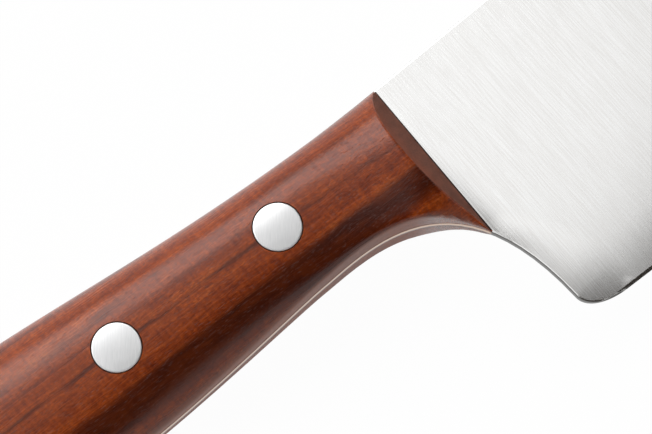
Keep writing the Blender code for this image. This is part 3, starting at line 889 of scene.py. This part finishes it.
RUB_X, RUB_Y = 0.64, 0.77
RUBBED_DARK, RUBBED_LIGHT = paint(192, 193, 194), paint(230, 230, 230)
RUB_DEPTH = 0.010

bright = Finish("bright_rivet_metal")
x, y, z = bright.parts(bright.place())
rub_lines = bright.vector(x * RUB_Y - y * RUB_X, x * RUB_X + y * RUB_Y, z)
rubbed = bright.noise(rub_lines, (9.0, 0.5, 1.0), detail=3.0, roughness=0.6)
bright.surface(
    Base_Color=bright.mix(rubbed, RUBBED_DARK, RUBBED_LIGHT),
    Metallic=1.0,
    Roughness=0.42 + rubbed * 0.12,
    Normal=bright.bump(rubbed, RUB_DEPTH, 0.6),
)

sleeved = [(head_radius, UNDER_HEAD), (RIVET_SLEEVE_RADIUS, UNDER_HEAD),
           (RIVET_SLEEVE_RADIUS, RIVET_SLEEVE_SHORTFALL - RIVET_SEAT),
           (RIVET_BORE_RADIUS, RIVET_SLEEVE_SHORTFALL - RIVET_SEAT),
           (RIVET_BORE_RADIUS, RIVET_PIN_REACH + HEAD_FIT)]
pinned = [(head_radius, UNDER_HEAD), (RIVET_PIN_RADIUS, UNDER_HEAD),
          (RIVET_PIN_RADIUS, -RIVET_PIN_REACH)]
for name, place in rivet_places.items():
    for half, side, profile in (("sleeve", 1, sleeved), ("pin", -1, pinned)):
        rivet = make_rivet(f"{name}_rivet_{half}", place, side, profile)
        rivet.data.materials.append(bright.material)
        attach(rivet, "root")
        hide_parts(f"rivet_{name}_{half}")


# The knife lies on a white table in a white studio tent, with a soft lamp beyond the spine
# and one past either end. A dark card on the edge's side shades the handle's lower flank
# and the edge, and a scrim that darkens towards the tip tones the plunge and the blade.
EYE = Vector((-59.71, -67.14, 289.2))
EYE_RIGHT = Vector((0.762968, -0.646112, -0.0205))
EYE_BACK = Vector((-0.133679, -0.188698, 0.9729))
LENS = 100.0
SENSOR = 36.0


def on_table(point):
    """A point in the knife's millimetres, as a place in the scene."""
    return Vector(point) * MILLIMETRE + HANDLE_FRONT


lens = bpy.data.cameras.new("camera")
lens.lens = LENS
lens.sensor_width = SENSOR
lens.clip_start = 0.01
camera = bpy.data.objects.new("camera", lens)
bpy.context.scene.collection.objects.link(camera)
back = EYE_BACK.normalized()
right = (EYE_RIGHT - back * EYE_RIGHT.dot(back)).normalized()
turn = Matrix((right, back.cross(right), back)).transposed().to_4x4()
camera.matrix_world = Matrix.Translation(on_table(EYE)) @ turn
bpy.context.scene.camera = camera


LAMP_REACH = 900.0
LAMP_AIM = Vector((-20.0, -15.0, 0.0))


def soft_lamp(name, way, width, height, radiance, seen=True):
    """A soft lamp that shines on the knife from a way, in degrees: tilt from overhead
    towards the spine, and turn towards the tip."""
    tilt, swing = (math.radians(angle) for angle in way)
    out = Vector((math.sin(swing), math.sin(tilt) * math.cos(swing),
                  math.cos(tilt) * math.cos(swing)))
    data = bpy.data.lights.new(name, "AREA")
    data.shape = "RECTANGLE"
    data.size = width * MILLIMETRE
    data.size_y = height * MILLIMETRE
    data.energy = radiance * math.pi * data.size * data.size_y
    lamp = bpy.data.objects.new(name, data)
    bpy.context.scene.collection.objects.link(lamp)
    lamp.visible_glossy = seen
    place = on_table(out * LAMP_REACH + LAMP_AIM)
    aim = out.to_track_quat("Z", "Y").to_matrix().to_4x4()
    lamp.matrix_world = Matrix.Translation(place) @ aim


def card(name, corners, finish):
    """A flat sheet of card through corners in the knife's millimetres."""
    mesh = bpy.data.meshes.new(name)
    mesh.from_pydata([on_table(corner)[:] for corner in corners], [],
                     [list(range(len(corners)))])
    made = bpy.data.objects.new(name, mesh)
    bpy.context.scene.collection.objects.link(made)
    mesh.materials.append(finish.material)
    return made


def rectangle(low_x, high_x, low_y, high_y, z):
    """The corners of a level rectangle."""
    return [(low_x, low_y, z), (high_x, low_y, z), (high_x, high_y, z), (low_x, high_y, z)]


def white_rays(nodes):
    """1 for the eye, metal and glass, which see clean white, and 0 for plain light."""
    seen, glossy, clear = (nodes.node("ShaderNodeLightPath", {}, {}, ray) for ray in
                           ("Is Camera Ray", "Is Glossy Ray", "Is Transmission Ray"))
    return nodes.math("MAXIMUM", nodes.math("MAXIMUM", seen, glossy), clear)


WHITE = (1.0, 1.0, 1.0)
MATT = 0.9
TABLE_WHITENESS = 0.975
TABLE_REACH = 6000.0
TABLE_GAP = 0.02
table_top = Finish("white_table")
table_top.surface(Base_Color=(0.92, 0.92, 0.92), Roughness=MATT)
plain = Value(table_top, table_top.shader.outputs[0])
white = table_top.node("ShaderNodeEmission", {}, {"Color": WHITE, "Strength": 1.0})
mixed = table_top.node("ShaderNodeMixShader", {},
                       {0: white_rays(table_top) * TABLE_WHITENESS, 1: plain, 2: white})
table_top.feed(table_top.tree.nodes["Material Output"].inputs["Surface"], mixed)
table_level = -HANDLE_FRONT.z / MILLIMETRE - TABLE_GAP
card("table", rectangle(-TABLE_REACH, TABLE_REACH, -TABLE_REACH, TABLE_REACH, table_level),
     table_top)

CARD_HEIGHT = 3000.0
CARD_REACH = 9000.0
CARD_EDGE = -90.0
CARD_SLANT = 0.15
CARD_LOW = math.tan(math.radians(46.0)) * CARD_HEIGHT
dark_card = Finish("black_card")
dark_card.surface(Base_Color=(0.17, 0.145, 0.125), Roughness=MATT)
edge_shift = CARD_SLANT * CARD_REACH
shade = card("black_card", [(-CARD_REACH, CARD_EDGE - edge_shift, CARD_HEIGHT),
                            (CARD_REACH, CARD_EDGE + edge_shift, CARD_HEIGHT),
                            (CARD_REACH, -CARD_LOW, CARD_HEIGHT),
                            (-CARD_REACH, -CARD_LOW, CARD_HEIGHT)], dark_card)
shade.visible_camera = False

SCRIM_FROM = 900.0
SCRIM_DARK_FROM = 2700.0
SCRIM_THINS_FROM = 3200.0
SCRIM_THIN_FROM = 4200.0
SCRIM_THINNEST = 0.4
SCRIM_REACH = 30000.0
SCRIM_HEIGHT = CARD_HEIGHT + 1.0
scrim = Finish("graded_scrim")
x, y, z = scrim.parts(scrim.place())
near = scrim.rise(abs(y), SCRIM_THIN_FROM, SCRIM_THINS_FROM)
thickness = near * (1.0 - SCRIM_THINNEST) + SCRIM_THINNEST
scrim.surface(Base_Color=(0.20, 0.15, 0.115), Roughness=MATT,
              Alpha=scrim.rise(x, SCRIM_FROM, SCRIM_DARK_FROM) * thickness)
tip_scrim = card("scrim_over_tip", rectangle(SCRIM_FROM, SCRIM_REACH, -SCRIM_REACH,
                                             SCRIM_REACH, SCRIM_HEIGHT), scrim)
tip_scrim.visible_camera = False

soft_lamp("lamp_beyond_spine", (42.0, 0.0), 1500.0, 700.0, 2.9)
soft_lamp("lamp_over_tip", (36.0, 55.0), 600.0, 600.0, 1.6, seen=False)
soft_lamp("lamp_over_butt", (36.0, -55.0), 600.0, 600.0, 1.6, seen=False)

TENT_LIGHT = 0.12
tent = bpy.data.worlds.new("studio_tent")
tent.use_nodes = True
bpy.context.scene.world = tent
air = Nodes(tent.node_tree)
sky = air.tree.nodes["Background"]
air.feed(sky.inputs["Color"], WHITE)
air.feed(sky.inputs["Strength"], white_rays(air) * (1.0 - TENT_LIGHT) + TENT_LIGHT)

bpy.context.scene.view_settings.view_transform = "Standard"
